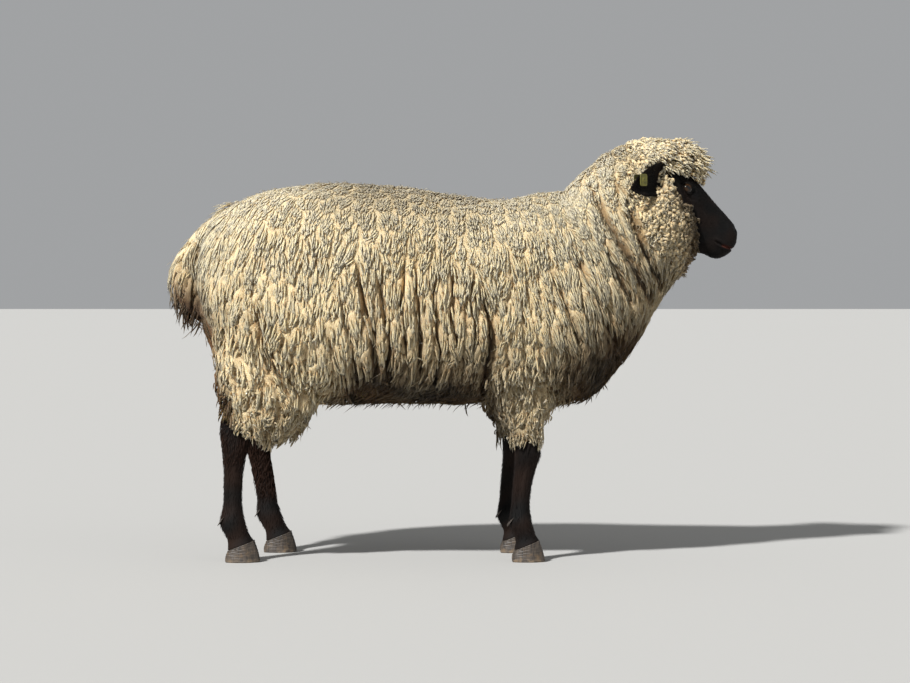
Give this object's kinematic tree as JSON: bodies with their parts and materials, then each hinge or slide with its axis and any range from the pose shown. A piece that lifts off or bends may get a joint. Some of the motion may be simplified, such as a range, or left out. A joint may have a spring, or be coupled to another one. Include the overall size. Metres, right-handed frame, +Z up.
{
  "type": "sheep",
  "caption": "Life-size still model of a standing black-faced sheep in full white fleece, head raised, for display.",
  "frame": {"origin": "on the floor, at the middle of the model's box", "axes": "+X towards the nose, +Y to the animal's left, +Z up"},
  "size_m": [1.251, 0.526, 0.9187],
  "materials": {
    "fleece": "raw cream wool in locks, dirtier at the tips and underneath",
    "skin": "matt, under the wool",
    "hair": "short black hair with a low sheen",
    "horn": "dark horn with growth rings",
    "eye": "wet and glossy",
    "tag": "semi-matt moulded plastic"
  },
  "bodies": {
    "root": {"trunk": "fleece", "neck": "fleece", "head": "hair", "tail": "fleece", "ear_tag": "tag", "ear_left": "hair", "eye_left": "eye", "foreleg_upper_left": "fleece", "foreleg_lower_left": "hair", "hoof_fore_left_inner": "horn", "hoof_fore_left_outer": "horn", "hindleg_upper_left": "fleece", "hindleg_lower_left": "hair", "hoof_hind_left_inner": "horn", "hoof_hind_left_outer": "horn", "ear_right": "hair", "eye_right": "eye", "foreleg_upper_right": "fleece", "foreleg_lower_right": "hair", "hoof_fore_right_inner": "horn", "hoof_fore_right_outer": "horn", "hindleg_upper_right": "fleece", "hindleg_lower_right": "hair", "hoof_hind_right_inner": "horn", "hoof_hind_right_outer": "horn"}
  },
  "joints": []
}
